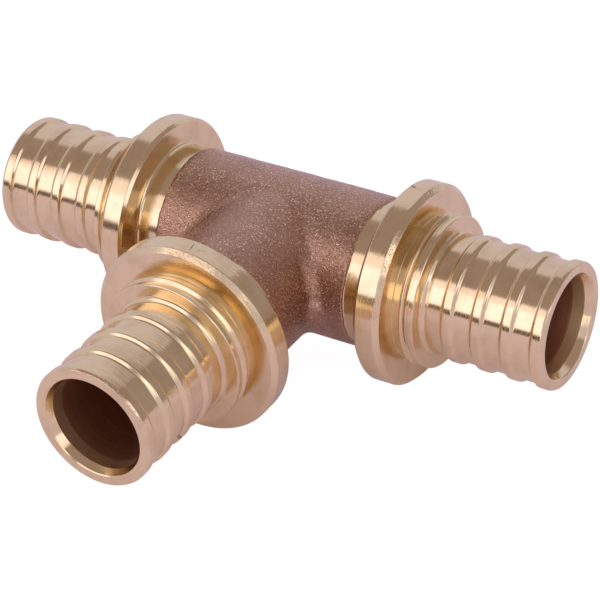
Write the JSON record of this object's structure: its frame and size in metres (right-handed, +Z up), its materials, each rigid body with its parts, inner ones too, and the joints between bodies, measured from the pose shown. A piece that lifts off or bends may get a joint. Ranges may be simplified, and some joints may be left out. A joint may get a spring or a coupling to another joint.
{
  "type": "pex tee",
  "caption": "Cast and machined metal tee that joins plastic pipes: a straight run and a longer side branch, each outlet with a tool flange, a stop collar and a ribbed spigot.",
  "frame": {"origin": "where the axes of the run and the branch cross, in the middle of the waterway", "axes": "+X along the run, -Y out of the branch, +Z up; the tee lies on the rims of its flanges"},
  "size_m": [0.105, 0.0737, 0.034],
  "materials": {
    "red_brass": "turned outlets, rough cast middle"
  },
  "bodies": {
    "root": {"tee_body": "red_brass"}
  },
  "joints": []
}
